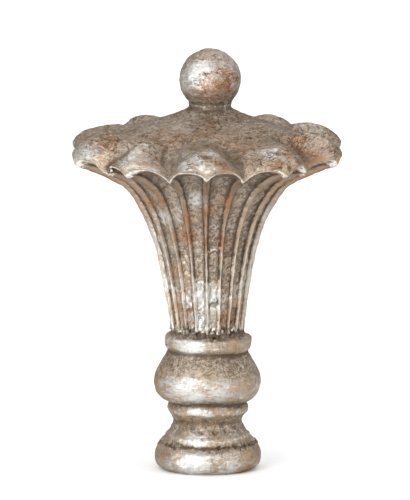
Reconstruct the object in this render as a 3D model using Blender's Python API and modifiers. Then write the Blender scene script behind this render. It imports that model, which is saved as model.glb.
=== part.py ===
"""A lamp shade finial, cast in one piece: turned base, fluted trumpet, lobed cap and ball.

Units are metres, +Z is up, and the origin is the middle of the flat underside.
Angles run round the axis from the front (-Y) towards +X.
"""

import math

import bmesh
import bpy

MM = 0.001

# Socket for the lamp harp's screw, in the underside
BORE_RADIUS = 3.2 * MM
BORE_DEPTH = 12.0 * MM
BORE_CHAMFER = 0.3 * MM

# Foot, a fat round with a narrow fillet standing on it
FOOT_RADIUS = 9.45 * MM
FOOT_ROLL = 2.9 * MM
FOOT_WIDEST = 2.1 * MM
FOOT_UNDERCUT = 2.4 * MM
FOOT_HEIGHT = 5.3 * MM
FILLET_RADIUS = 7.6 * MM
FILLET_HEIGHT = 1.15 * MM
FILLET_LEDGE = 0.4 * MM

# Cove, bead and bulge above the foot
COVE_RADIUS = 6.05 * MM
COVE_HEIGHT = 3.3 * MM
BEAD_RADIUS = 7.35 * MM
BEAD_HEIGHT = 2.45 * MM
BULGE_RADIUS = 9.58 * MM
BULGE_ROLL = 2.73 * MM
BULGE_HEIGHT = 9.25 * MM
BULGE_WIDEST_SHARE = 0.39
THROAT_RADIUS = 7.15 * MM

# Collar that the trumpet stands on
COLLAR_RADIUS = 7.83 * MM
COLLAR_HEIGHT = 2.95 * MM
COLLAR_EDGE = 0.85 * MM
LEDGE_RISE = 0.5 * MM

# Where each round of the mouldings starts and ends, in degrees from the outward direction
FOOT_UNDER_ARC = (-68, -12)
FOOT_ARC = (8, 64)
BEAD_ARC = (-65, 45)
BULGE_ARC = (-76, 0)
COLLAR_ARC = (-75, 0)

# Shape of the mouldings' section, as shares of each one's own size
FILLET_UPRIGHT = 0.65
COVE_DEEPEST = 0.72
COVE_CURVE = 1.8
COVE_LIP = 0.12
BEAD_DEPTH = 0.8
BEAD_ROUND = 0.92
BEAD_BACK = 0.6
BULGE_SWELL = 0.7
COLLAR_EDGE_LIMIT = 0.45
COLLAR_UNDERCUT = 1.4
COLLAR_BEVEL = 0.5

# Fluted trumpet: a slow taper, then a flare, then a lip that turns out quickly
FLUTE_COUNT = 20
TRUMPET_FOOT_RADIUS = 6.45 * MM
TRUMPET_HEIGHT = 29.75 * MM
TRUMPET_TAPER = 4.5 * MM
FLARE_POWER = 4
LIP_FLARE = 3.4 * MM
LIP_POWER = 18
FLUTE_DEPTH_SHARE = 0.3
FLUTE_SQUARENESS = 3.0
FLUTES_FADE_FROM = 0.88
TRUMPET_SINK = 0.7 * MM

# Lobed cap, two flutes to a lobe
LOBE_COUNT = FLUTE_COUNT // 2
RIM_RADIUS = 21.3 * MM
LOBE_RADIUS = 24.95 * MM
LOBE_FULLNESS = 0.7
VALLEY_ROUNDNESS = 0.1
ARCH_RISE = 1.6 * MM
CAP_HEIGHT = 10.5 * MM

# Neck and ball, set a little off the axis by the casting, and the trumpet's slight sway the other way
NECK_RADIUS = 3.95 * MM
NECK_HEIGHT = 0.9 * MM
BALL_RADIUS = 5.6 * MM
NECK_SINK = 0.3
NECK_SINK_TAPER = 0.9
BALL_OFFSET = 0.45 * MM
TRUMPET_SWAY = 0.3 * MM
SWAY_AT = 0.7
SWAY_SPREAD = 0.4

# Fineness of the solid
TURNED_STEPS = 32
BALL_SEGMENTS = 24
BALL_RINGS = 12
NECK_COLUMNS_PER_FLUTE = 2
SMOOTH_UP_TO = 35

# Where the columns of each flute stand, as shares of its width from rib to rib
FLUTE_COLUMNS = (0.0, 0.11, 0.27, 0.5, 0.73, 0.89)
# Where the rings of the trumpet stand, as shares of its height
TRUMPET_RINGS = (0.0, 0.14, 0.3, 0.45, 0.58, 0.69, 0.78, 0.85, 0.9, 0.94, 0.975)

# The cap's two section lines, through a lobe's crest and through a valley, each from the rim inwards.
# Each point is a share of LOBE_RADIUS, or of RIM_RADIUS in a valley, and a share of CAP_HEIGHT.
LOBE_LINE = (
    (0.958, 0.08),
    (0.982, 0.115),
    (0.997, 0.18),
    (1.0, 0.275),
    (0.978, 0.39),
    (0.918, 0.515),
    (0.834, 0.602),
    (0.737, 0.645),
    (0.653, 0.635),
    (0.581, 0.605),
)
VALLEY_LINE = (
    (1.0, 0.0),
    (1.01, 0.025),
    (1.005, 0.075),
    (0.985, 0.135),
    (0.95, 0.205),
    (0.895, 0.29),
    (0.835, 0.375),
    (0.775, 0.455),
    (0.725, 0.525),
    (0.681, 0.59),
)
ARCH_SHARES = (1.0, 0.85, 0.6, 0.35, 0.12, 0.0, 0.0, 0.0, 0.0, 0.0)
# The bare dome inside the lobes: shares of the way from their inner ends to the neck, out and up
DOME_LINE = ((0.17, 0.14), (0.38, 0.33), (0.58, 0.5), (0.75, 0.66), (0.88, 0.8), (0.955, 0.9))


def stack():
    """Heights above the underside at which each moulding starts."""
    levels = {}
    height = 0.0
    for name, rise in (
        ("foot", FOOT_HEIGHT),
        ("fillet", FILLET_HEIGHT),
        ("cove", COVE_HEIGHT),
        ("bead", BEAD_HEIGHT),
        ("bulge", BULGE_HEIGHT),
        ("collar", COLLAR_HEIGHT),
        ("ledge", LEDGE_RISE),
        ("trumpet", TRUMPET_HEIGHT),
        ("cap", CAP_HEIGHT),
        ("neck", NECK_HEIGHT),
        ("ball", 0.0),
    ):
        levels[name] = height
        height += rise
    return levels


LEVEL = stack()
RIM_LEVEL = LEVEL["cap"]
NECK_LEVEL = LEVEL["neck"]
BALL_LEVEL = LEVEL["ball"] + math.sqrt(BALL_RADIUS**2 - NECK_RADIUS**2)


def quarter(centre, radii, start, end, steps):
    """Points (radius, height) along an ellipse's arc, angles in degrees from the outward direction."""
    points = []
    for i in range(steps + 1):
        angle = math.radians(start + (end - start) * i / steps)
        across = centre[0] + radii[0] * math.cos(angle)
        points.append((across, centre[1] + radii[1] * math.sin(angle)))
    return points


def foot_line():
    """The foot and its fillet, from the underside up."""
    under = FOOT_RADIUS - FOOT_UNDERCUT
    fall = FOOT_WIDEST / math.sin(math.radians(-FOOT_UNDER_ARC[0]))
    line = quarter((under, FOOT_WIDEST), (FOOT_UNDERCUT, fall), *FOOT_UNDER_ARC, 4)
    rise = (FOOT_HEIGHT - FOOT_WIDEST) / math.sin(math.radians(FOOT_ARC[1]))
    line += quarter((FOOT_RADIUS - FOOT_ROLL, FOOT_WIDEST), (FOOT_ROLL, rise), *FOOT_ARC, 5)
    line.append((FILLET_RADIUS, LEVEL["fillet"]))
    line.append((FILLET_RADIUS - FILLET_LEDGE / 4, LEVEL["fillet"] + FILLET_UPRIGHT * FILLET_HEIGHT))
    return line


def cove_line():
    """The hollow between fillet and bead: quick at the bottom, tight under the bead."""
    flare = FILLET_RADIUS - FILLET_LEDGE - COVE_RADIUS
    lip = COVE_LIP * (BEAD_RADIUS - COVE_RADIUS)
    rise = COVE_DEEPEST * COVE_HEIGHT
    line = []
    for share in (0.0, 0.25, 0.5, 0.75, 1.0):
        line.append((COVE_RADIUS + flare * (1 - share) ** COVE_CURVE, LEVEL["cove"] + share * rise))
    line.append((COVE_RADIUS + lip, LEVEL["bead"] - lip))
    return line


def bead_line():
    """The small half-round under the bulge."""
    depth = BEAD_RADIUS - COVE_RADIUS
    across = BEAD_DEPTH * depth
    up = BEAD_ROUND * BEAD_HEIGHT / 2
    line = quarter((BEAD_RADIUS - across, LEVEL["bead"] + BEAD_HEIGHT / 2), (across, up), *BEAD_ARC, 5)
    line.append((COVE_RADIUS + BEAD_BACK * depth, LEVEL["bead"] + 2 * up))
    return line


def bulge_line():
    """The vase-like bulge: round below its widest, and drawn in to the throat above it."""
    widest = LEVEL["bulge"] + BULGE_WIDEST_SHARE * BULGE_HEIGHT
    below = widest - LEVEL["bulge"]
    line = quarter((BULGE_RADIUS - BULGE_ROLL, widest), (BULGE_ROLL, below), *BULGE_ARC, 5)
    steps = 8
    for i in range(1, steps + 1):
        share = i / steps
        swell = (0.5 + 0.5 * math.cos(math.pi * share)) ** BULGE_SWELL
        height = widest + share * (LEVEL["collar"] - widest)
        line.append((THROAT_RADIUS + (BULGE_RADIUS - THROAT_RADIUS) * swell, height))
    return line


def collar_line():
    """The collar: rounded under, upright outside, bevelled to a ledge that slopes up to the axis."""
    base, top = LEVEL["collar"], LEVEL["ledge"]
    edge = min(COLLAR_EDGE, COLLAR_EDGE_LIMIT * COLLAR_HEIGHT)
    step = COLLAR_RADIUS - THROAT_RADIUS
    bevel = COLLAR_BEVEL * step
    under = COLLAR_UNDERCUT * edge
    line = quarter((THROAT_RADIUS, base + under), (step, 0.8 * under), *COLLAR_ARC, 4)
    line.append((COLLAR_RADIUS, top - edge))
    line.append((COLLAR_RADIUS - bevel / 4, top - edge / 2))
    line.append((COLLAR_RADIUS - bevel, top - edge / 4))
    line.append((0.0, LEVEL["trumpet"]))
    return line


def socket_line():
    """The underside's flat and the socket, from the bore's closed end down and out."""
    return [
        (0.0, BORE_DEPTH),
        (BORE_RADIUS, BORE_DEPTH),
        (BORE_RADIUS, BORE_CHAMFER),
        (BORE_RADIUS + BORE_CHAMFER, 0.0),
    ]


def smooth_step(low, high, value):
    share = min(max((value - low) / (high - low), 0.0), 1.0)
    return share * share * (3 - 2 * share)


def flute_wave(angle):
    """0 on each rib, 1 in the middle of each flute."""
    phase = (angle * FLUTE_COUNT / math.tau) % 1.0
    return 1 - abs(2 * phase - 1) ** FLUTE_SQUARENESS


def lobe_wave(angle):
    """1 on each lobe's crest, 0 in each valley. The crest is full and the valley narrow."""

    def swell(square):
        return (square + VALLEY_ROUNDNESS**2) ** (LOBE_FULLNESS / 2)

    square = math.cos(angle * LOBE_COUNT / 2) ** 2
    return (swell(square) - swell(0)) / (swell(1) - swell(0))


def rib_radius(share):
    """Radius over the ribs at a share of the trumpet's height."""
    flare = RIM_RADIUS - TRUMPET_FOOT_RADIUS - TRUMPET_TAPER - LIP_FLARE
    straight = TRUMPET_FOOT_RADIUS + TRUMPET_TAPER * share
    return straight + flare * share**FLARE_POWER + LIP_FLARE * share**LIP_POWER


def trumpet_point(share, angle):
    """(radius, height) on the fluted wall. Near the rim it takes on the rim's own scallops."""
    rib = rib_radius(share)
    near_rim = smooth_step(FLUTES_FADE_FROM, 1.0, share)
    depth = FLUTE_DEPTH_SHARE * math.tau * rib / FLUTE_COUNT * (1 - near_rim)
    rim_radius, rim_height = cap_point(0, angle)
    radius = rib - depth * flute_wave(angle) + near_rim * (rim_radius - RIM_RADIUS)
    height = LEVEL["trumpet"] + share * TRUMPET_HEIGHT + near_rim * (rim_height - RIM_LEVEL)
    return radius, height


def cap_point(index, angle):
    """(radius, height) on the cap, where index counts its section lines' points from the rim."""
    lobe = lobe_wave(angle)
    valley_radius = VALLEY_LINE[index][0] * RIM_RADIUS
    crest_radius = LOBE_LINE[index][0] * LOBE_RADIUS
    valley_height = VALLEY_LINE[index][1] * CAP_HEIGHT
    crest_height = LOBE_LINE[index][1] * CAP_HEIGHT
    arch = ARCH_SHARES[index] * ARCH_RISE * flute_wave(angle)
    radius = valley_radius + (crest_radius - valley_radius) * lobe
    height = RIM_LEVEL + valley_height + (crest_height - valley_height) * lobe + arch
    return radius, height


def dome_point(out, up, angle):
    """(radius, height) on the bare dome between the lobes' inner ends and the neck."""
    start_radius, start_height = cap_point(len(LOBE_LINE) - 1, angle)
    radius = start_radius + out * (NECK_RADIUS - start_radius)
    return radius, start_height + up * (NECK_LEVEL - start_height)


def centre_line(height):
    """Sideways shift of the casting: the trumpet sways one way, the neck and ball the other."""
    widest_sway = LEVEL["trumpet"] + SWAY_AT * TRUMPET_HEIGHT
    sway = math.exp(-(((height - widest_sway) / (SWAY_SPREAD * TRUMPET_HEIGHT)) ** 2))
    join = RIM_LEVEL + LOBE_LINE[-1][1] * CAP_HEIGHT
    return BALL_OFFSET * smooth_step(join, NECK_LEVEL, height) - TRUMPET_SWAY * sway


def place(angle, radius, height):
    return (centre_line(height) + radius * math.sin(angle), -radius * math.cos(angle), height)


def flute_angles(shares):
    pitch = math.tau / FLUTE_COUNT
    return [(flute + share) * pitch for flute in range(FLUTE_COUNT) for share in shares]


def rings():
    """Every ring of the trumpet and cap, from the one sunk in the collar to the one sunk in the ball."""
    fine = flute_angles(FLUTE_COLUMNS)
    coarse = flute_angles([i / NECK_COLUMNS_PER_FLUTE for i in range(NECK_COLUMNS_PER_FLUTE)])
    made = []
    foot = [trumpet_point(0.0, angle) for angle in fine]
    made.append([place(a, r, z - TRUMPET_SINK) for a, (r, z) in zip(fine, foot)])
    for share in TRUMPET_RINGS:
        made.append([place(a, *trumpet_point(share, a)) for a in fine])
    for index in range(len(LOBE_LINE)):
        made.append([place(a, *cap_point(index, a)) for a in fine])
    for out, up in DOME_LINE:
        made.append([place(a, *dome_point(out, up, a)) for a in coarse])
    made.append([place(a, NECK_RADIUS, NECK_LEVEL) for a in coarse])
    sunk = LEVEL["ball"] + NECK_SINK * BALL_RADIUS
    made.append([place(a, NECK_SINK_TAPER * NECK_RADIUS, sunk) for a in coarse])
    return made


def join_rings(mesh, lower, upper):
    """Faces between two rings of vertices, where the lower holds a whole multiple of the upper's count."""
    ratio = len(lower) // len(upper)
    for i, low in enumerate(lower):
        low_next = lower[(i + 1) % len(lower)]
        here = upper[(i + ratio // 2) // ratio % len(upper)]
        there = upper[(i + 1 + ratio // 2) // ratio % len(upper)]
        mesh.faces.new((low, low_next, here) if here is there else (low, low_next, there, here))


def new_object(name, mesh, collection):
    data = bpy.data.meshes.new(name)
    mesh.to_mesh(data)
    mesh.free()
    made = bpy.data.objects.new(name, data)
    collection.objects.link(made)
    return made


def make_trumpet_and_cap(collection):
    """The fluted wall and the lobed cap, lofted through rings of unlike shape."""
    mesh = bmesh.new()
    loops = [[mesh.verts.new(point) for point in ring] for ring in rings()]
    for lower, upper in zip(loops, loops[1:]):
        join_rings(mesh, lower, upper)
    mesh.faces.new(reversed(loops[0]))
    mesh.faces.new(loops[-1])
    return new_object("finial", mesh, collection)


def make_turned_base(collection):
    """The base with its socket: one profile turned about the axis."""
    outside = foot_line() + cove_line() + bead_line() + bulge_line() + collar_line()
    profile = list(reversed(outside)) + list(reversed(socket_line()))
    mesh = bmesh.new()
    verts = [mesh.verts.new((radius, 0.0, height)) for radius, height in profile]
    for first, second in zip(verts, verts[1:]):
        mesh.edges.new((first, second))
    base = new_object("turned_base", mesh, collection)
    turn = base.modifiers.new("turn", "SCREW")
    turn.steps = turn.render_steps = TURNED_STEPS
    turn.use_merge_vertices = True
    turn.merge_threshold = 0.00001
    turn.use_smooth_shade = True
    return base


def make_ball(collection):
    mesh = bmesh.new()
    bmesh.ops.create_uvsphere(mesh, u_segments=BALL_SEGMENTS, v_segments=BALL_RINGS, radius=BALL_RADIUS)
    ball = new_object("ball", mesh, collection)
    ball.location = (BALL_OFFSET, 0.0, BALL_LEVEL)
    return ball


def cast_together(body, others):
    """Unites the other shapes with the body, and leaves them as hidden guides."""
    for other in others:
        other.hide_render = True
        other.display_type = "WIRE"
        union = body.modifiers.new(f"with_{other.name}", "BOOLEAN")
        union.operation = "UNION"
        union.solver = "EXACT"
        union.object = other


def silver_leaf():
    material = bpy.data.materials.new("antique_silver_leaf")
    material.use_nodes = True
    shader = material.node_tree.nodes["Principled BSDF"]
    shader.inputs["Base Color"].default_value = (0.46, 0.38, 0.3, 1.0)
    shader.inputs["Roughness"].default_value = 0.42
    shader.inputs["Metallic"].default_value = 0.6
    return material


def main():
    for old in list(bpy.data.objects):
        bpy.data.objects.remove(old)
    parts = bpy.data.collections.new("lamp_shade_finial")
    shapes = bpy.data.collections.new("shapes_cast_in")
    bpy.context.scene.collection.children.link(parts)
    bpy.context.scene.collection.children.link(shapes)
    finial = make_trumpet_and_cap(parts)
    cast_together(finial, [make_ball(shapes), make_turned_base(shapes)])
    finial.data.materials.append(silver_leaf())
    finial.data.shade_smooth()
    finial.data.set_sharp_from_angle(angle=math.radians(SMOOTH_UP_TO))


main()
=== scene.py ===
"""Dresses the lamp shade finial: a cast body in antique silver leaf, washed with umber and rust.

Lengths are metres and +Z is up. Angles run round the axis from the front (-Y) towards +X.
"""

import math

import bmesh
import bpy
import numpy as np
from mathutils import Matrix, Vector


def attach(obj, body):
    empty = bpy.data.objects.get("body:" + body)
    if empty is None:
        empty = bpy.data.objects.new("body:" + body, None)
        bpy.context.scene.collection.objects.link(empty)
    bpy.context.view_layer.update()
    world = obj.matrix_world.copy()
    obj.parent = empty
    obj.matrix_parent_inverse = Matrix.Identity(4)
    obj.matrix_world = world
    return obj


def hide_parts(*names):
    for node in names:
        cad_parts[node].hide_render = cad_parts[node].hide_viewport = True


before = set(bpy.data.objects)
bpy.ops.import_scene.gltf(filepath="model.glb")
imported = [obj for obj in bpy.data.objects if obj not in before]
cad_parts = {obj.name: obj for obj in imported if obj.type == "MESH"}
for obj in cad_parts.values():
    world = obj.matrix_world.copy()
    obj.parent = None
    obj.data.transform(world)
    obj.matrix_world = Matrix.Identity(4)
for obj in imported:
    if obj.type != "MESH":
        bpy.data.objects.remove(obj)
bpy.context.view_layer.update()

MM = 0.001

# Socket for the harp's screw
BORE_RADIUS = 3.2 * MM
BORE_DEPTH = 12.0 * MM
BORE_CHAMFER = 0.3 * MM
# Innermost ring of the bore's closed end, as a share of its radius
BORE_INNERMOST = 0.25

# Turned base, from the underside up
FOOT_RADIUS = 9.45 * MM
FOOT_ROLL = 2.9 * MM
FOOT_WIDEST = 2.1 * MM
FOOT_UNDERCUT = 2.4 * MM
FOOT_HEIGHT = 5.3 * MM
FILLET_RADIUS = 7.6 * MM
FILLET_HEIGHT = 1.15 * MM
FILLET_LEDGE = 0.4 * MM
COVE_RADIUS = 6.05 * MM
COVE_HEIGHT = 3.3 * MM
BEAD_RADIUS = 7.35 * MM
BEAD_HEIGHT = 2.45 * MM
BULGE_RADIUS = 9.58 * MM
BULGE_ROLL = 2.73 * MM
BULGE_HEIGHT = 9.25 * MM
BULGE_WIDEST_SHARE = 0.39
THROAT_RADIUS = 7.15 * MM
COLLAR_RADIUS = 7.83 * MM
COLLAR_HEIGHT = 2.95 * MM
COLLAR_EDGE = 0.85 * MM
LEDGE_RISE = 0.5 * MM

# Where each round of the mouldings starts and ends, in degrees from the outward direction
FOOT_UNDER_ARC = (-68, -4)
FOOT_ARC = (4, 64)
BEAD_ARC = (-70, 50)
BULGE_ARC = (-78, 0)
COLLAR_ARC = (-75, 0)
COLLAR_EDGE_ARC = (10, 80)

# Shapes of the mouldings' sections: shares of each one's own size, and the powers that bend a curve.
# The fillet's points go inwards over its ledge, and up
FILLET_LINE = ((0.0, 0.1), (0.0, 0.6), (1 / 3, 0.9))
COVE_DEEPEST = 0.72
COVE_CURVE = 1.8
BEAD_DEPTH = 0.8
BEAD_ROUND = 0.92
# Where the bead ends under the bulge: inwards and down
BEAD_BACK = (0.42, 0.08)
BULGE_START = 0.04
BULGE_SWELL = 0.7
COLLAR_UNDERCUT = 1.4
COLLAR_EDGE_DROP = 1.2
COLLAR_ROUND = 1.1
# The ledge's inner end, past the trumpet's foot and above the ledge's own level
LEDGE_END = (0.2 * MM, 0.1 * MM)

# Fluted trumpet
FLUTE_COUNT = 20
TRUMPET_FOOT_RADIUS = 6.45 * MM
TRUMPET_HEIGHT = 29.75 * MM
TRUMPET_TAPER = 4.5 * MM
FLARE_POWER = 4
LIP_FLARE = 3.4 * MM
LIP_POWER = 18
FLUTE_DEPTH_SHARE = 0.32
FLUTES_LEFT_AT_RIM = 0.1
RIB_HALF_WIDTH = 0.09
RIB_ROUNDING = 0.12
# Shares of the trumpet's height over which its flutes start and fade, and the lobes and arches start
FLUTES_START = (-0.02, 0.03)
FLUTES_FADE = (0.965, 1.0)
LOBES_START = (0.88, 1.0)
ARCHES_START = (0.84, 0.99)
# A flute's section: how far from the rib its floor starts and is reached, in half widths of the rib,
# and how deep the floor lies beside the rib and how much deeper in the flute's middle
FLOOR_REACHED = (0.35, 1.6)
FLOOR_DEPTH = 0.86
FLOOR_HOLLOW = 0.12
ARCH_SQUARENESS = 2.4

# Lobed cap, neck and ball
LOBE_COUNT = FLUTE_COUNT // 2
RIM_RADIUS = 21.3 * MM
LOBE_RADIUS = 24.95 * MM
VALLEY_ROUNDNESS = 0.1
ARCH_RISE = 1.6 * MM
CAP_HEIGHT = 10.5 * MM
NECK_RADIUS = 3.95 * MM
NECK_HEIGHT = 0.9 * MM
NECK_STOP = 0.6
BALL_RADIUS = 5.6 * MM
BALL_TOP = 89
BALL_OFFSET = 0.45 * MM
# The trumpet's sway, and where it is widest and how far it spreads, as shares of the trumpet's height
TRUMPET_SWAY = 0.3 * MM
SWAY_AT = 0.7
SWAY_SPREAD = 0.4

# The cap's section lines through a lobe's crest and through a valley, from the rim inwards,
# as shares of LOBE_RADIUS or RIM_RADIUS and of CAP_HEIGHT
LOBE_LINE = (
    (0.958, 0.08), (0.982, 0.115), (0.997, 0.18), (1.0, 0.275), (0.978, 0.39),
    (0.918, 0.515), (0.834, 0.602), (0.737, 0.645), (0.653, 0.635), (0.581, 0.605),
)
VALLEY_LINE = (
    (1.0, 0.0), (1.01, 0.025), (1.005, 0.075), (0.985, 0.135), (0.95, 0.205),
    (0.895, 0.29), (0.835, 0.375), (0.775, 0.455), (0.725, 0.525), (0.681, 0.59),
)
ARCH_SHARES = (1.0, 0.85, 0.6, 0.35, 0.12, 0.0, 0.0, 0.0, 0.0, 0.0)
# How narrow each lobe is along the same lines: below 1 its sides are full, above 1 it is a slim petal
SLIMNESS = (0.7, 0.7, 0.72, 0.8, 1.05, 1.5, 2.1, 2.8, 3.4, 3.8)
DOME_LINE = ((0.0, 0.0), (0.17, 0.14), (0.38, 0.33), (0.58, 0.5), (0.75, 0.66), (0.88, 0.8), (1.0, 1.0))

# Fineness of the mesh: columns in a full turn, then how far apart the rings are, and the least gap
BASE_COLUMNS = 9 * FLUTE_COUNT
FLUTED_COLUMNS = 18 * FLUTE_COUNT
BALL_COLUMNS = 9 * FLUTE_COUNT // 2
RING_SPACING = 0.3 * MM
TRUMPET_SPACING = 1.08 * RING_SPACING
CAP_SPACING = 0.8 * RING_SPACING
HIDDEN_SPACING = 0.7 * MM
LEAST_GAP = 0.02 * MM
# Points along each round, and up the cove, the bulge and the trumpet
ARC_POINTS = 24
COVE_POINTS = 16
BULGE_POINTS = 24
TRUMPET_POINTS = 160
# Where a flute's columns stand at the trumpet's foot, crowded round the ribs
RIB_COLUMNS = (
    0.0, 0.03, 0.06, 0.095, 0.135, 0.18, 0.235, 0.31, 0.4,
    0.5, 0.6, 0.69, 0.765, 0.82, 0.865, 0.905, 0.94, 0.97,
)
# Shares of the trumpet's height between which the columns spread evenly again
COLUMNS_SPREAD = (0.2, 1.0)


def stack():
    """Heights above the underside at which each moulding starts."""
    levels = {}
    height = 0.0
    for name, rise in (
        ("foot", FOOT_HEIGHT), ("fillet", FILLET_HEIGHT), ("cove", COVE_HEIGHT), ("bead", BEAD_HEIGHT),
        ("bulge", BULGE_HEIGHT), ("collar", COLLAR_HEIGHT), ("ledge", LEDGE_RISE),
        ("trumpet", TRUMPET_HEIGHT), ("cap", CAP_HEIGHT), ("neck", NECK_HEIGHT), ("ball", 0.0),
    ):
        levels[name] = height
        height += rise
    return levels


LEVEL = stack()
BALL_LEVEL = LEVEL["ball"] + math.sqrt(BALL_RADIUS**2 - NECK_RADIUS**2)


# Section lines

def arc(centre, radii, start, end):
    """Points along an ellipse's arc, angles in degrees from the outward direction."""
    angles = np.radians(np.linspace(start, end, ARC_POINTS))
    return np.column_stack((np.cos(angles), np.sin(angles))) * radii + centre


def smoothed(points, per_span=10):
    """A smooth curve through the rows of points."""
    points = np.array(points, float)
    padded = np.vstack((2 * points[0] - points[1], points, 2 * points[-1] - points[-2]))
    rows = []
    for before, start, end, after in zip(padded, padded[1:], padded[2:], padded[3:]):
        for share in np.arange(per_span) / per_span:
            leave = (end - before) / 2
            arrive = (after - start) / 2
            rise = end - start
            rows.append(
                start + share * leave + share**2 * (3 * rise - 2 * leave - arrive)
                + share**3 * (leave + arrive - 2 * rise)
            )
    rows.append(points[-1])
    return np.array(rows)


def spaced(rows, spacing):
    """The rows again, evenly spaced along the length of their first two columns."""
    rows = np.array(rows, float)
    along = np.concatenate(([0.0], np.cumsum(np.linalg.norm(np.diff(rows[:, :2], axis=0), axis=1))))
    at = np.linspace(0.0, along[-1], max(3, round(along[-1] / spacing) + 1))
    return np.column_stack([np.interp(at, along, column) for column in rows.T])


def plain(points):
    """Rows of a turned stretch: radius, height, no flute, lobe or arch, and a slimness of 1."""
    points = np.array(points, float)
    return np.column_stack((points, np.zeros((len(points), 4)), np.ones(len(points))))


def hidden_line():
    """The socket and the flat underside."""
    return plain([
        (BORE_INNERMOST * BORE_RADIUS, BORE_DEPTH),
        (BORE_RADIUS, BORE_DEPTH),
        (BORE_RADIUS, BORE_CHAMFER),
        (BORE_RADIUS + BORE_CHAMFER, 0.0),
        (FOOT_RADIUS - FOOT_UNDERCUT * (1 - math.cos(math.radians(FOOT_UNDER_ARC[0]))), 0.0),
    ])


def base_line():
    """Foot, fillet, cove, bead, bulge and collar, from the underside up."""
    foot_fall = FOOT_WIDEST / math.sin(math.radians(-FOOT_UNDER_ARC[0]))
    foot_rise = (FOOT_HEIGHT - FOOT_WIDEST) / math.sin(math.radians(FOOT_ARC[1]))
    fillet = [
        (FILLET_RADIUS - inwards * FILLET_LEDGE, LEVEL["fillet"] + up * FILLET_HEIGHT)
        for inwards, up in FILLET_LINE
    ]

    flare = FILLET_RADIUS - FILLET_LEDGE - COVE_RADIUS
    share = np.linspace(0.0, 1.0, COVE_POINTS)
    cove = np.column_stack((
        COVE_RADIUS + flare * (1 - share) ** COVE_CURVE,
        LEVEL["cove"] + share * COVE_DEEPEST * COVE_HEIGHT,
    ))

    bead_out = BEAD_RADIUS - COVE_RADIUS
    bead_end = (BEAD_RADIUS - BEAD_BACK[0] * bead_out, LEVEL["bulge"] - BEAD_BACK[1] * BEAD_HEIGHT)

    widest = LEVEL["bulge"] + BULGE_WIDEST_SHARE * BULGE_HEIGHT
    share = np.linspace(BULGE_START, 1.0, BULGE_POINTS)
    swell = (0.5 + 0.5 * np.cos(math.pi * share)) ** BULGE_SWELL
    bulge = np.column_stack((
        THROAT_RADIUS + (BULGE_RADIUS - THROAT_RADIUS) * swell,
        widest + share * (LEVEL["collar"] - widest),
    ))

    collar_up = COLLAR_ROUND * COLLAR_EDGE
    return plain(np.vstack([
        arc((FOOT_RADIUS - FOOT_UNDERCUT, FOOT_WIDEST), (FOOT_UNDERCUT, foot_fall), *FOOT_UNDER_ARC),
        arc((FOOT_RADIUS - FOOT_ROLL, FOOT_WIDEST), (FOOT_ROLL, foot_rise), *FOOT_ARC),
        fillet,
        cove,
        arc((BEAD_RADIUS - BEAD_DEPTH * bead_out, LEVEL["bead"] + BEAD_HEIGHT / 2),
            (BEAD_DEPTH * bead_out, BEAD_ROUND * BEAD_HEIGHT / 2), *BEAD_ARC),
        [bead_end],
        arc((BULGE_RADIUS - BULGE_ROLL, widest), (BULGE_ROLL, widest - LEVEL["bulge"]), *BULGE_ARC),
        bulge,
        arc((THROAT_RADIUS, LEVEL["collar"] + COLLAR_UNDERCUT * COLLAR_EDGE),
            (COLLAR_RADIUS - THROAT_RADIUS, collar_up), *COLLAR_ARC),
        arc((COLLAR_RADIUS - COLLAR_EDGE, LEVEL["ledge"] - COLLAR_EDGE_DROP * COLLAR_EDGE),
            (COLLAR_EDGE, collar_up), *COLLAR_EDGE_ARC),
        [(TRUMPET_FOOT_RADIUS + LEDGE_END[0], LEVEL["ledge"] + LEDGE_END[1])],
    ]))


def smooth_step(low, high, value):
    share = np.clip((value - low) / (high - low), 0.0, 1.0)
    return share * share * (3 - 2 * share)


def trumpet_line():
    """The fluted wall: its ribs' radius, and near the top the rim's lobes and arches."""
    share = np.linspace(0.0, 1.0, TRUMPET_POINTS)
    flare = RIM_RADIUS - TRUMPET_FOOT_RADIUS - TRUMPET_TAPER - LIP_FLARE
    straight = TRUMPET_FOOT_RADIUS + TRUMPET_TAPER * share
    rib = straight + flare * share**FLARE_POWER + LIP_FLARE * share**LIP_POWER
    fade = (1 - FLUTES_LEFT_AT_RIM) * smooth_step(*FLUTES_FADE, share)
    depth = FLUTE_DEPTH_SHARE * math.tau * rib / FLUTE_COUNT
    depth = depth * smooth_step(*FLUTES_START, share) * (1 - fade)
    lobed = smooth_step(*LOBES_START, share)
    arched = smooth_step(*ARCHES_START, share)
    return np.column_stack((
        rib,
        LEVEL["trumpet"] + share * TRUMPET_HEIGHT,
        depth,
        lobed * (LOBE_LINE[0][0] * LOBE_RADIUS - RIM_RADIUS),
        lobed * LOBE_LINE[0][1] * CAP_HEIGHT,
        arched * ARCH_RISE,
        np.full(len(share), SLIMNESS[0]),
    ))


def cap_line():
    """The lobed cap from the rim to the lobes' inner ends."""
    rows = []
    for lobe, valley, arch, slim in zip(LOBE_LINE, VALLEY_LINE, ARCH_SHARES, SLIMNESS):
        radius = valley[0] * RIM_RADIUS
        height = valley[1] * CAP_HEIGHT
        rise = lobe[1] * CAP_HEIGHT - height
        out = lobe[0] * LOBE_RADIUS - radius
        rows.append((radius, LEVEL["cap"] + height, 0.0, out, rise, arch * ARCH_RISE, slim))
    return smoothed(rows)


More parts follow.
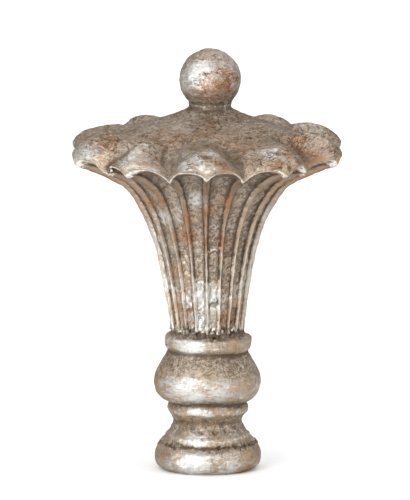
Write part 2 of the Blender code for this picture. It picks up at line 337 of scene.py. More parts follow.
def dome_line():
    """The bare dome inside the lobes, which fade out on it, up to the neck."""
    radius, height, _, lobe_out, lobe_up, _, slim = cap_line()[-1]
    rows = []
    for out, up in DOME_LINE:
        rows.append((
            radius + out * (NECK_RADIUS - radius), height + up * (LEVEL["neck"] - height),
            0.0, (1 - out) * lobe_out, (1 - up) * lobe_up, 0.0, slim,
        ))
    rows.append((NECK_RADIUS, LEVEL["neck"] + NECK_STOP * NECK_HEIGHT, 0.0, 0.0, 0.0, 0.0, slim))
    return smoothed(rows)


def ball_line():
    start = -math.degrees(math.acos(NECK_RADIUS / BALL_RADIUS))
    return plain(arc((0.0, BALL_LEVEL), (BALL_RADIUS, BALL_RADIUS), start, BALL_TOP))


# Blank: every ring of the casting, still plain turned, with the amounts that shape it

def flute_shares(spread):
    """Where a flute's columns stand, from crowded round its ribs (0) to even (1)."""
    crowded = np.array(RIB_COLUMNS)
    even = np.arange(len(crowded)) / len(crowded)
    return crowded + spread * (even - crowded)


def ring_angles(columns, spread=1.0):
    if columns != FLUTED_COLUMNS:
        return np.arange(columns) * math.tau / columns
    flutes = np.arange(FLUTE_COUNT)[:, None] + flute_shares(spread)[None, :]
    return flutes.ravel() * math.tau / FLUTE_COUNT


def blank_rings():
    """(row, angles, along) of each ring, where along is its distance up the section line."""
    rings = []
    along = 0.0
    last = None
    for line, columns, spacing in (
        (hidden_line(), BASE_COLUMNS, HIDDEN_SPACING),
        (base_line(), BASE_COLUMNS, RING_SPACING),
        (trumpet_line(), FLUTED_COLUMNS, TRUMPET_SPACING),
        (cap_line(), FLUTED_COLUMNS, CAP_SPACING),
        (dome_line(), BASE_COLUMNS, RING_SPACING),
        (ball_line(), BALL_COLUMNS, RING_SPACING),
    ):
        for row in spaced(line, spacing):
            if last is not None:
                gap = float(np.linalg.norm(row[:2] - last[:2]))
                if gap < LEAST_GAP:
                    continue
                along += gap
            share = (row[1] - LEVEL["trumpet"]) / TRUMPET_HEIGHT
            rings.append((row, ring_angles(columns, smooth_step(*COLUMNS_SPREAD, share)), along))
            last = row
    return rings


ATTRIBUTES = ("turn", "lobe_turn", "fill", "along", "flute", "lobe_out", "lobe_up", "arch", "slim")

# Unevenness, given one by one. A crease that wanders: its angle and half width in degrees, then its
# height, half height and shift in mm
WANDERS = (
    (0, 75, 5.3, 2.0, -0.75), (0, 60, 12.2, 1.5, 0.5), (50, 45, 21.4, 1.6, -0.45),
    (-60, 50, 21.4, 1.5, 0.2), (150, 70, 12.2, 1.6, -0.4), (-130, 60, 5.3, 1.8, 0.4),
    (110, 50, 24.0, 1.6, -0.3),
)
# A valley that leans towards the neck: angle, half width and lean in degrees, and how far it is filled
VALLEYS = (
    (-18, 20, -4.5, 0.1), (18, 20, -3.0, 0.15), (54, 24, 5.0, 0.0), (-54, 24, 7.0, 0.5),
    (90, 20, 3.0, 0.3), (-90, 20, 2.5, 0.75), (-126, 20, -3.0, 0.2), (126, 20, 2.5, 0.15),
    (162, 20, 3.5, 0.25), (198, 20, -2.5, 0.1),
)
# The share of the cap's height by which a valley's lean and filling are whole
LEAN_WHOLE_AT = 0.45


def window(value, centre, half_width):
    """1 at centre, falling smoothly to 0 at that distance from it."""
    return 1 - smooth_step(0.0, half_width, abs(value - centre))


def degrees_apart(angles, centre):
    """How far the angles lie past the centre, the short way round, all in degrees."""
    return (angles - centre + 180.0) % 360.0 - 180.0


def turn_window(angles, centre, half_width):
    """The same round the axis, for angles in radians and a centre in degrees."""
    return window(degrees_apart(np.degrees(angles), centre), 0.0, half_width)


def wander(angles, height):
    shift = np.zeros(len(angles))
    for centre, half_width, level, half_height, amount in WANDERS:
        near = window(height / MM, level, half_height)
        shift += amount * turn_window(angles, centre, half_width) * near
    return shift * MM


def lean_and_fill(angles, height):
    """How far the valleys have turned at that height, in radians, and how far they are filled."""
    inner = smooth_step(LEVEL["cap"], LEVEL["cap"] + LEAN_WHOLE_AT * CAP_HEIGHT, height)
    lean = np.zeros(len(angles))
    fill = np.zeros(len(angles))
    for centre, half_width, by, share in VALLEYS:
        lean -= math.radians(by) * inner * turn_window(angles, centre, half_width)
        fill += share * inner * turn_window(angles, centre, half_width)
    return lean, np.minimum(fill, 1.0)


def new_object(name, data):
    """An object in the scene, from its data or from a bmesh that becomes them."""
    if isinstance(data, bmesh.types.BMesh):
        mesh, data = data, bpy.data.meshes.new(name)
        mesh.to_mesh(data)
        mesh.free()
    made = bpy.data.objects.new(name, data)
    bpy.context.scene.collection.objects.link(made)
    return made


def join_rings(mesh, lower, upper):
    """Faces between two rings, where one holds as many vertices as the other, or twice as many."""
    count = max(len(lower), len(upper))
    low_ratio = count // len(lower)
    high_ratio = count // len(upper)
    for i in range(count):
        corners = [
            lower[i // low_ratio],
            lower[(i + 1) // low_ratio % len(lower)],
            upper[(i + 1) // high_ratio % len(upper)],
            upper[i // high_ratio],
        ]
        mesh.faces.new(list(dict.fromkeys(corners)))


def make_blank():
    """The casting before its flutes and lobes are cut, as one closed mesh."""
    mesh = bmesh.new()
    layers = [mesh.verts.layers.float.new(name) for name in ATTRIBUTES]
    loops = []
    for row, angles, along in blank_rings():
        loop = []
        heights = row[1] + wander(angles, row[1])
        leans, fills = lean_and_fill(angles, row[1])
        for angle, lean, fill, height in zip(angles, leans, fills, heights):
            vert = mesh.verts.new((row[0] * math.sin(angle), -row[0] * math.cos(angle), height))
            for layer, value in zip(layers, (angle, angle + lean, fill, along, *row[2:])):
                vert[layer] = value
            loop.append(vert)
        loops.append(loop)
    for lower, upper in zip(loops, loops[1:]):
        join_rings(mesh, lower, upper)
    for loop in (loops[0], loops[-1]):
        pole = mesh.verts.new((0.0, 0.0, loop[0].co.z))
        pole[layers[ATTRIBUTES.index("along")]] = loop[0][layers[ATTRIBUTES.index("along")]]
        for first, second in zip(loop, loop[1:] + loop[:1]):
            mesh.faces.new((pole, second, first) if loop is loops[0] else (pole, first, second))
    return new_object("antique_silver_finial", mesh)


# Node trees as Python expressions

class Tree:
    """A node tree, with one method that adds any node."""

    def __init__(self, group):
        self.group = group

    def node(self, kind, settings=None, **sockets):
        """A node of that type; a socket is named by its words, or by its number as _0, _1, _2."""
        made = self.group.nodes.new(kind)
        for name, value in (settings or {}).items():
            setattr(made, name, value)
        for name, value in sockets.items():
            key = int(name[1:]) if name[0] == "_" else name.replace("_", " ")
            self.put(made.inputs[key], value)
        return made

    def put(self, socket, value):
        if isinstance(value, Value):
            value = value.socket
        if isinstance(value, bpy.types.NodeSocket):
            self.group.links.new(value, socket)
        else:
            socket.default_value = value

    def value(self, kind, settings=None, output=0, **sockets):
        """One output of such a node."""
        return Value(self, self.node(kind, settings, **sockets).outputs[output])

    def vector(self, operation, *parts, output="Vector", **named):
        numbered = {f"_{i}": part for i, part in enumerate(parts)}
        return self.value("ShaderNodeVectorMath", {"operation": operation}, output, **numbered, **named)

    def combine(self, x, y, z):
        return self.value("ShaderNodeCombineXYZ", X=x, Y=y, Z=z)

    def split(self, vector):
        return [Value(self, part) for part in self.node("ShaderNodeSeparateXYZ", Vector=vector).outputs]

    def swing(self, place, scale, detail=2.0, roughness=0.5, distortion=0.0):
        """Noise about 0 that mostly stays between -1 and 1."""
        noise = self.value("ShaderNodeTexNoise", Vector=place, Scale=scale, Detail=detail,
                           Roughness=roughness, Distortion=distortion)
        return (noise - 0.5) * 4.0

    def cells(self, place, scale, feature="F1"):
        return self.value(
            "ShaderNodeTexVoronoi", {"feature": feature}, "Distance", Vector=place, Scale=scale)


def operator(operation):
    """A method of Value that takes one other value or number."""
    return lambda value, other: value.math(operation, other)


class Value:
    """A socket that arithmetic works on."""

    def __init__(self, tree, socket):
        self.tree = tree
        self.socket = socket

    def math(self, operation, *others):
        numbered = {f"_{i}": part for i, part in enumerate((self, *others))}
        return self.tree.value("ShaderNodeMath", {"operation": operation}, **numbered)

    __add__ = __radd__ = operator("ADD")
    __sub__ = operator("SUBTRACT")
    __mul__ = __rmul__ = operator("MULTIPLY")
    __truediv__ = operator("DIVIDE")
    __pow__ = operator("POWER")
    low = operator("MINIMUM")
    high = operator("MAXIMUM")

    def __rsub__(self, other):
        return self * -1.0 + other

    def __neg__(self):
        return self * -1.0

    def __abs__(self):
        return self.math("ABSOLUTE")

    def clamped(self):
        return self.high(0.0).low(1.0)

    def step(self, low, high):
        """0 below low, 1 above high and smooth between; low may be above high."""
        return self.tree.value("ShaderNodeMapRange", {"interpolation_type": "SMOOTHSTEP"},
                               Value=self, From_Min=low, From_Max=high)

    def near(self, centre, width):
        """1 at centre, falling smoothly to 0 at that distance from it."""
        return abs(self - centre).step(width, 0.0)


# Geometry Nodes

def new_geometry_tree(name, inputs):
    """A tree with a geometry going through it and named float inputs."""
    group = bpy.data.node_groups.new(name, "GeometryNodeTree")
    group.interface.new_socket("Geometry", in_out="INPUT", socket_type="NodeSocketGeometry")
    group.interface.new_socket("Geometry", in_out="OUTPUT", socket_type="NodeSocketGeometry")
    for socket_name, default in inputs.items():
        socket = group.interface.new_socket(socket_name, in_out="INPUT", socket_type="NodeSocketFloat")
        socket.default_value = default
    tree = Tree(group)
    source = tree.node("NodeGroupInput")
    given = {name: Value(tree, source.outputs[name]) for name in inputs}
    return tree, source.outputs["Geometry"], given


def attributes(tree, *names):
    return [
        tree.value("GeometryNodeInputNamedAttribute", {"data_type": "FLOAT"}, "Attribute", Name=name)
        for name in names
    ]


def store(tree, geometry, name, value):
    return tree.value("GeometryNodeStoreNamedAttribute", {"data_type": "FLOAT", "domain": "POINT"},
                      Geometry=geometry, Name=name, Value=value)


def move(tree, geometry, offset):
    return tree.value("GeometryNodeSetPosition", Geometry=geometry, Offset=offset)


def end_tree(tree, geometry, material):
    """Realizes what comes out and gives it its material."""
    real = tree.value("GeometryNodeRealizeInstances", Geometry=geometry)
    finished = tree.value("GeometryNodeSetMaterial", Geometry=real, Material=material)
    tree.node("NodeGroupOutput", Geometry=finished)


def run_tree(piece, tree, inputs):
    """Puts the tree on the piece, sets its inputs and makes the result the piece's own plain mesh."""
    modifier = piece.modifiers.new(tree.group.name, "NODES")
    modifier.node_group = tree.group
    for item in tree.group.interface.items_tree:
        if item.in_out == "INPUT" and item.name in inputs:
            modifier[item.identifier] = inputs[item.name]
    bpy.context.view_layer.update()
    graph = bpy.context.evaluated_depsgraph_get()
    made = bpy.data.meshes.new_from_object(
        piece.evaluated_get(graph), preserve_all_data_layers=True, depsgraph=graph)
    piece.modifiers.remove(modifier)
    old = piece.data
    piece.data = made
    bpy.data.meshes.remove(old)
    made.name = piece.name


FORM_INPUTS = {
    "Flutes": float(FLUTE_COUNT),
    "Rib half width": RIB_HALF_WIDTH,
    "Rib rounding": RIB_ROUNDING,
    "Lobes": float(LOBE_COUNT),
    "Valley roundness": VALLEY_ROUNDNESS,
    "Sway": TRUMPET_SWAY,
    "Ball offset": BALL_OFFSET,
}
# The flutes' depth over which their ribs and floors come into the masks
FLUTED_DEPTH = (0.2 * MM, 0.6 * MM)
# A lobe's outline: how far up its side and how wide, and the slimness where it starts and ends
OUTLINE_UP = (0.16, 0.15)
OUTLINE_START = (0.8, 1.4)
OUTLINE_END = (3.79, 3.2)
# The rim's edge, worn and given a painted highlight: the arches' rise and the flutes' depth where it
# starts
EDGE_RISE = (0.78 * ARCH_RISE, 0.9 * ARCH_RISE)
EDGE_DEPTH = (0.7 * MM, 0.35 * MM)


def form_tree(material):
    """Cuts the flutes, raises the lobes and arches, and bends the casting off its axis."""
    tree, geometry, given = new_geometry_tree("cut_flutes_and_lobes", FORM_INPUTS)
    turn, lobe_turn, fill, _, flute, lobe_out, lobe_up, arch, slim = attributes(tree, *ATTRIBUTES)
    phase = (turn * given["Flutes"] / math.tau).math("FRACT")
    from_rib = 0.5 - abs(phase - 0.5)
    half = given["Rib half width"]
    floor = from_rib.step(half * FLOOR_REACHED[0], half * FLOOR_REACHED[1])
    rounding = (from_rib / half).low(1.0) ** 2.0 * given["Rib rounding"]
    hollow = from_rib * 2.0 * FLOOR_HOLLOW
    cut = (floor * FLOOR_DEPTH + hollow + rounding * (1 - floor)).low(1.0)
    arch_wave = 1 - abs(phase * 2.0 - 1.0) ** ARCH_SQUARENESS

    square = (lobe_turn * given["Lobes"] / 2.0).math("COSINE") ** 2.0
    least = given["Valley roundness"] ** 2.0
    power = slim / 2.0
    low = least**power
    lobe = ((square + least) ** power - low) / ((least + 1.0) ** power - low)
    lobe = lobe * (1 - fill) + fill

    out = lobe_out * lobe - flute * cut
    up = lobe_up * lobe + arch * arch_wave
    offset = tree.combine(turn.math("SINE") * out, -(turn.math("COSINE") * out), up)
    geometry = move(tree, geometry, offset)

    height = tree.split(tree.value("GeometryNodeInputPosition"))[2]
    widest = LEVEL["trumpet"] + SWAY_AT * TRUMPET_HEIGHT
    sway = (((height - widest) / (SWAY_SPREAD * TRUMPET_HEIGHT)) ** 2.0 * -1.0).math("EXPONENT")
    join = LEVEL["cap"] + LOBE_LINE[-1][1] * CAP_HEIGHT
    shift = given["Ball offset"] * height.step(join, LEVEL["neck"]) - given["Sway"] * sway
    geometry = move(tree, geometry, tree.combine(shift, 0.0, 0.0))

    ribbed = flute.step(*FLUTED_DEPTH)
    # The rim's edge, which gets a raised bead and a painted highlight
    edge = arch.step(*EDGE_RISE) * flute.step(*EDGE_DEPTH)
    for name, mask in (
        ("rib", (1 - cut) * ribbed),
        ("floor", cut * ribbed),
        ("outline", lobe.near(*OUTLINE_UP) * slim.step(*OUTLINE_START) * slim.step(*OUTLINE_END)),
        ("edge", edge * (arch_wave * 0.5 + 0.5)),
    ):
        geometry = store(tree, geometry, name, mask)
    end_tree(tree, geometry, material)
    return tree


RELIEF_INPUTS = {
    "Casting wobble": 0.12 * MM,
    "Lumps": 0.09 * MM,
    "Knocks": 0.24 * MM,
    "Grain": 0.13 * MM,
    "Brush marks": 0.04 * MM,
    "Plaster": 0.38 * MM,
    "Crust": 0.75 * MM,
    "Rubble": 0.75 * MM,
    "Petal outline": 0.2 * MM,
    "Rim bead": 0.1 * MM,
    "Inset": 0.1 * MM,
    "Seed": 7.0,
}
# Noises of the relief, from the broadest to the finest: scale per mm, detail and roughness
RELIEF_NOISES = ((0.11, 1.0), (0.42, 2.0, 0.5), (0.95, 2.0, 0.55), (2.0, 2.0, 0.6))
# Heights in mm over which something starts, or ends where the first height is the upper one
OUTSIDE_START = (0.3, 1.6)
RUBBLE_START = (24.8, 25.4)
RUBBLE_END = (27.2, 25.6)
UPPER_TRUMPET = (34.0, 48.0)
INSET_START = (54.0, 57.0)
CAP_START = (56.0, 59.0)
BALL_START = (65.0, 67.0)
# The ledge's inner corner, where the crust is thin: height and half width in mm
LEDGE_CORNER = (25.0, 0.5)
# Masks of the creases: rounds of blurring, and how far below the blurred surface counts as 1
CREASES = (("fold", 4, 0.05 * MM), ("hollow", 40, 0.55 * MM))
# Bands of rough crust round the casting: height, half width in mm and strength
CRUST_BANDS = (
    (4.85, 0.9, 1.7), (7.6, 1.4, 0.85), (12.0, 0.8, 0.35), (20.6, 1.0, 0.3), (25.2, 1.9, 1.1),
)


def relief_tree(material):
    """Wobble, lumps, brush marks, plaster, crust, rubble and dents, and the masks of the creases."""
    tree, geometry, given = new_geometry_tree("cast_relief", RELIEF_INPUTS)
    turn, along, rib, floor, plaster, outline, edge, dent = attributes(
        tree, "turn", "along", "rib", "floor", "plaster", "outline", "edge", "dent")
    place = tree.value("GeometryNodeInputPosition")
    seeded = tree.combine(given["Seed"], 0.0, 0.0)
    spot = tree.vector("ADD", tree.vector("SCALE", place, Scale=1 / MM), seeded)
    x, y, height = tree.split(spot)
    along = along / MM
    fluted = (floor + rib).clamped()

    wobble, lumps, knocks, grain = (tree.swing(spot, *noise) for noise in RELIEF_NOISES)
    round_marks = tree.swing(tree.combine(x * 0.13, y * 0.13, along * 1.3), 1.0, 3.0, 0.6)
    long_marks = tree.swing(tree.combine(turn * 11.0, along * 0.16, 0.0), 1.0, 2.0, 0.6)
    marks = round_marks * (1 - fluted) + long_marks * floor

    crust = None
    for centre, width, strength in CRUST_BANDS:
        band = height.near(centre, width) * strength
        crust = band if crust is None else crust.high(band)
    crust = crust * tree.swing(spot, 0.3, 2.0).step(-0.5, 0.3)
    rough = tree.swing(spot, 1.0, 3.0, 0.7, 0.5)
    pits = tree.cells(spot, 0.85).step(0.42, 0.12)
    off_ribs = 1 - rib * 0.8
    off_corner = 1 - height.near(*LEDGE_CORNER) * 0.6
    crusty = crust * (rough * 0.45 - pits * 0.9 + 0.1) * off_ribs * off_corner
    heaped = (rough * 0.8 + knocks * 0.3 + 0.6).clamped() * off_ribs
    rubble = height.step(*RUBBLE_START) * height.step(*RUBBLE_END) * heaped

    rise = (
        wobble * given["Casting wobble"]
        + lumps * given["Lumps"]
        + knocks * given["Knocks"] * (floor * 0.3 + 0.3)
        + grain * given["Grain"] * (floor * 0.7 + 0.4)
        + marks * given["Brush marks"]
        + plaster * floor.step(0.35, 0.75) * given["Plaster"]
        + crusty * given["Crust"]
        + rubble * given["Rubble"]
        - outline * (knocks * 0.3 + 0.7) * given["Petal outline"]
        + edge * given["Rim bead"]
        - given["Inset"] * height.step(*INSET_START)
        + dent
    ) * height.step(*OUTSIDE_START)
    normal = tree.value("GeometryNodeInputNormal")
    geometry = move(tree, geometry, tree.vector("SCALE", normal, Scale=rise))
    geometry = store(tree, geometry, "crust", crust)

    for name, rounds, scale in CREASES:
        here = tree.value("GeometryNodeInputPosition")
        blurred = tree.value("GeometryNodeBlurAttribute", {"data_type": "FLOAT_VECTOR"}, "Value",
                             Value=here, Iterations=rounds)
        away = tree.vector("SUBTRACT", blurred, here)
        face = tree.value("GeometryNodeInputNormal")
        depth = tree.vector("DOT_PRODUCT", away, face, output="Value")
        geometry = store(tree, geometry, name, depth / scale)
    end_tree(tree, geometry, material)
    return tree


# Marks, listed one by one: angle in degrees, then radius, height, size and depth in mm, below 0 for a
# lump
DENTS = (
    (0, 22.8, 60.1, 0.75, 0.7), (3, 22.2, 60.4, 0.6, 0.4), (-5, 22.4, 60.3, 0.9, -0.3),
    (1, 18.0, 61.4, 3.6, 0.55), (33.6, 22.8, 60.0, 0.6, 0.7), (31.5, 21.9, 60.5, 0.5, 0.4),
    (36, 23.3, 59.6, 0.45, 0.3), (-52, 21.9, 55.8, 1.0, 1.0), (-57, 22.6, 55.2, 1.2, -0.5),
    (31.5, 24.6, 57.3, 0.6, 0.7), (36, 24.9, 57.2, 0.55, 0.6), (33.7, 25.0, 56.6, 1.1, -0.45),
    (29.5, 24.6, 58.0, 0.8, -0.35), (38.5, 24.6, 57.9, 0.8, -0.35), (51, 22.2, 56.0, 0.9, -0.6),
    (60, 20.4, 58.6, 2.6, 0.5), (36, 18.0, 61.4, 3.0, 0.35), (-108, 20.5, 61.5, 3.6, 0.5),
    (-9.6, 6.5, 24.8, 0.6, 0.8), (-14, 6.5, 25.0, 0.5, 0.6), (-36, 6.5, 25.4, 0.6, 0.6),
    (-24, 6.4, 25.6, 0.5, 0.6), (21.7, 6.7, 24.4, 0.5, 0.6), (-5, 7.0, 24.6, 0.5, -0.35),
    (-18, 6.9, 25.3, 0.5, -0.4), (4, 7.0, 24.9, 0.5, -0.3), (12, 6.8, 25.4, 0.45, -0.3),
    (-31, 6.8, 24.9, 0.5, -0.35), (-84, 7.3, 11.2, 1.4, 0.35), (-88, 7.8, 22.6, 1.3, 0.3),
    (62, 9.3, 1.4, 2.2, -0.2), (-25, 6.1, 8.0, 0.7, 0.4), (11.4, 6.1, 7.2, 0.6, 0.45),
    (27, 6.1, 8.6, 0.6, 0.35), (-4, 6.1, 9.2, 0.6, 0.35), (150, 23.8, 59.4, 0.8, 0.6),
    (206, 23.6, 59.0, 0.7, 0.6), (118, 22.0, 60.0, 0.9, -0.4), (-140, 23.0, 59.5, 0.9, 0.5),
    (-100, 9.4, 15.0, 0.6, 0.35), (130, 9.3, 14.0, 0.7, 0.4), (175, 8.8, 17.5, 0.6, 0.35),
)
# Plaster left in the flutes: the flute's middle in degrees, its low and high end in mm, and how thick
PLASTER = (
    (-9, 25.0, 34.9, 0.9), (9, 40.7, 41.6, 1.6), (9, 31.2, 35.3, 1.0), (9, 26.4, 30.6, 0.8),
    (-27, 27.5, 40.0, 0.5), (-27, 30.0, 37.0, 0.5), (27, 35.6, 39.0, 0.4), (-45, 26.0, 33.0, 0.6),
    (45, 30.0, 34.5, 0.6), (63, 26.0, 38.0, 0.5), (-63, 33.0, 43.0, 0.6), (-99, 27.0, 36.5, 0.8),
    (99, 29.0, 41.0, 0.7), (135, 26.0, 33.0, 0.9), (153, 35.0, 38.5, 0.8), (-153, 26.5, 37.0, 0.8),
    (-135, 38.0, 44.0, 0.7), (171, 26.0, 30.5, 0.7), (-117, 25.5, 29.0, 0.7), (-171, 32.0, 35.0, 0.8),
)
# How far its ends rise over their edges, in mm, and the waves that make them ragged:
# height in mm, radians per degree round the axis, and phase
PLASTER_EDGE = 0.3
PLASTER_WAVES = ((0.4, 0.17, 0.7), (0.22, 0.53, 1.0))


def spots_of(piece, name="co"):
    """One row for each vertex: its place in metres, or its normal."""
    values = np.empty(3 * len(piece.data.vertices))
    piece.data.vertices.foreach_get(name, values)
    return values.reshape(-1, 3)


def write_layer(piece, name, values):
    layer = piece.data.attributes.new(name, "FLOAT", "POINT")
    layer.data.foreach_set("value", values)


def soft_spot(spots, angle, radius, height, size):
    """1 at the place with that angle, radius and height, fading out at about its size, all in mm."""
    turn = math.radians(angle)
    place = (radius * math.sin(turn), -radius * math.cos(turn), height)
    return np.exp(-((np.linalg.norm(spots - place, axis=1) / size) ** 2))


def lay_marks(piece):
    """Writes the listed dents and the plaster in the flutes as attributes."""
    spots = spots_of(piece) / MM
    write_layer(piece, "dent", -sum(depth * MM * soft_spot(spots, *place) for *place, depth in DENTS))

    angles = np.degrees(np.arctan2(spots[:, 0], -spots[:, 1]))
    ragged = sum(rise * np.sin(pace * angles + start) for rise, pace, start in PLASTER_WAVES)
    heights = spots[:, 2] + ragged
    plaster = np.zeros(len(spots))
    for middle, low, high, share in PLASTER:
        above = smooth_step(low, low + PLASTER_EDGE, heights)
        below = 1 - smooth_step(high - PLASTER_EDGE, high, heights)
        plaster += share * above * below * (np.abs(degrees_apart(angles, middle)) < 180.0 / FLUTE_COUNT)
    write_layer(piece, "plaster", plaster)


# Small black pits: angle in degrees, then radius, height and size in mm
PITS = (
    (0.5, 22.9, 60.1, 0.42), (3.2, 22.3, 60.5, 0.3), (-2.5, 23.4, 59.7, 0.25), (33.8, 22.8, 60.1, 0.4),
    (31.5, 24.6, 57.3, 0.35), (36.2, 24.9, 57.2, 0.35), (-52, 21.6, 55.7, 0.6), (-4.9, 5.3, 71.6, 0.25),
    (-9.6, 6.6, 24.9, 0.45), (-7.5, 6.7, 24.6, 0.3), (-14, 6.6, 25.1, 0.35), (-36, 6.6, 25.4, 0.4),
    (-24, 6.5, 25.6, 0.3), (21.7, 6.8, 24.5, 0.3), (4.0, 6.8, 24.8, 0.25), (-45, 6.9, 25.0, 0.3),
    (-18, 6.5, 25.4, 0.5), (-5, 6.7, 24.7, 0.5), (-29, 6.4, 25.6, 0.45), (10, 6.8, 24.5, 0.45),
    (150, 23.8, 59.4, 0.45), (206, 23.6, 59.0, 0.4), (-140, 23.0, 59.5, 0.35), (130, 9.3, 14.0, 0.3),
    (175, 8.8, 17.5, 0.3), (120, 6.8, 25.0, 0.4), (200, 6.8, 24.9, 0.4), (160, 6.7, 25.3, 0.35),
)
# Where the umber wash lies, as (height, amount) up the outside and (radius, amount) over the cap
WASH_UP = (
    (0.0, 0.3), (0.7, 0.12), (1.9, 0.05), (3.2, 0.1), (4.1, 0.4), (4.8, 1.5), (5.4, 0.25),
    (6.3, 0.2), (6.9, 0.6), (8.0, 0.6), (9.2, 0.9), (9.9, 0.55), (10.8, 0.25), (11.6, 0.5),
    (12.2, 1.1), (12.8, 0.55), (13.8, 0.2), (15.5, 0.12), (17.0, 0.22), (17.9, 0.62), (19.6, 0.85),
    (20.8, 0.9), (21.4, 1.3), (21.9, 0.5), (22.6, 0.25), (23.6, 0.3), (24.2, 0.5), (24.8, 0.9),
    (25.6, 0.4), (27.0, 0.44), (34.0, 0.44), (42.0, 0.5), (50.0, 0.55), (54.0, 0.62),
)
WASH_OVER = (
    (0.0, 0.95), (4.2, 0.8), (5.5, 0.58), (9.0, 0.43), (14.0, 0.41), (17.0, 0.41), (21.0, 0.36),
    (23.5, 0.32), (26.0, 0.3),
)
WASH_BALL = ((66.0, 0.9), (67.4, 0.5), (69.5, 0.0), (73.5, 0.05), (75.6, 0.3))
# How far up a surface faces where the wash over the cap starts and is whole
OVER_CAP = (-0.2, 0.35)
# Wash, rust, and clean leaf partly standing for painted highlights, laid one by one: angle in degrees,
# radius, height and size in mm, and amount
UMBER_SPOTS = (
    (-19, 21.5, 56.0, 1.8, 0.1), (16, 21.4, 57.0, 1.4, 0.15), (-52, 21.4, 56.0, 1.6, 0.5),
    (25, 9.0, 44.0, 5.0, 0.35), (45, 9.0, 40.0, 8.0, 0.35), (62, 8.0, 34.0, 8.0, 0.3),
    (5, 5.5, 60.5, 3.0, 0.2), (0, 7.0, 13.2, 2.0, 0.4), (30, 9.3, 18.5, 2.4, 0.3),
    (40, 7.6, 22.5, 1.6, 0.3), (-4.9, 5.3, 71.6, 0.5, 1.2), (0, 22.8, 60.2, 0.7, 1.1),
    (33.6, 22.8, 60.1, 0.55, 1.2), (31.5, 24.6, 57.3, 0.5, 1.0), (36, 24.9, 57.2, 0.45, 1.0),
    (38, 21.0, 59.8, 2.6, 0.3), (45, 7.2, 28.0, 2.4, 0.4), (20, 7.0, 27.5, 1.4, 0.4),
    (-30, 7.0, 30.0, 1.4, 0.35), (120, 20.0, 58.5, 3.0, 0.5), (170, 19.0, 59.0, 3.0, 0.5),
    (-110, 20.0, 58.5, 3.0, 0.5),
)
RUST_SPOTS = (
    (-1, 5.4, 69.0, 2.6, 1.1), (12, 5.4, 69.4, 2.6, 1.3), (-18, 5.4, 69.6, 1.8, 0.8),
    (34, 5.4, 70.2, 2.4, 1.2), (-40, 6.9, 29.5, 2.4, 0.8), (37, 6.9, 29.0, 2.4, 0.7),
    (-27, 7.2, 34.0, 1.4, 0.5), (-26, 23.1, 58.0, 1.8, 0.9), (-29, 23.7, 58.5, 2.0, 0.8),
    (-60, 20.9, 59.0, 3.2, 0.6), (60, 21.4, 58.4, 3.2, 1.8), (60, 22.8, 57.6, 2.6, 1.6),
    (59, 18.8, 59.4, 2.8, 1.3), (38, 24.0, 58.5, 2.0, 0.8), (31, 24.6, 58.0, 1.8, 0.7),
    (17, 21.5, 55.8, 1.6, 0.7), (7, 23.6, 58.8, 2.0, 0.9), (9, 24.2, 57.0, 1.8, 0.9),
    (-6, 11.0, 61.8, 3.5, 0.5), (-20, 9.5, 43.0, 2.4, 0.9), (-20, 11.5, 47.0, 2.6, 0.8),
    (-1, 11.5, 49.0, 1.8, 0.9), (0, 9.5, 42.0, 1.6, 0.8), (18, 13.5, 50.0, 2.0, 0.9),
    (17, 9.5, 42.0, 1.6, 0.9), (-50, 13.0, 49.0, 2.6, 0.8), (-50, 8.5, 36.0, 2.4, 0.7),
    (40, 7.8, 23.2, 2.0, 1.0), (-12, 6.2, 9.5, 1.6, 0.9), (12, 6.2, 9.3, 1.5, 0.9),
    (30, 6.3, 9.0, 1.5, 0.7), (4, 9.1, 18.8, 2.4, 0.5), (-32, 13.0, 62.5, 4.0, 0.6),
    (20, 15.0, 61.8, 4.0, 0.6), (-57, 9.4, 2.2, 2.6, 0.8), (46, 9.2, 0.8, 2.6, 0.9),
    (49, 9.5, 16.2, 2.2, 0.6), (-56, 9.5, 16.4, 2.6, 0.6), (6, 7.2, 11.5, 1.5, 0.9),
    (-40, 6.2, 9.3, 1.8, 0.8), (120, 21.5, 58.5, 3.0, 0.9), (150, 9.0, 40.0, 3.0, 0.8),
    (180, 5.4, 69.5, 2.5, 0.8), (-125, 22.5, 58.0, 2.6, 0.9), (-100, 9.4, 2.0, 2.6, 0.7),
    (165, 9.5, 16.0, 2.6, 0.6), (-160, 12.0, 48.0, 3.0, 0.8), (100, 8.0, 23.0, 2.2, 0.8),
    (-170, 24.0, 57.5, 2.0, 0.8),
)
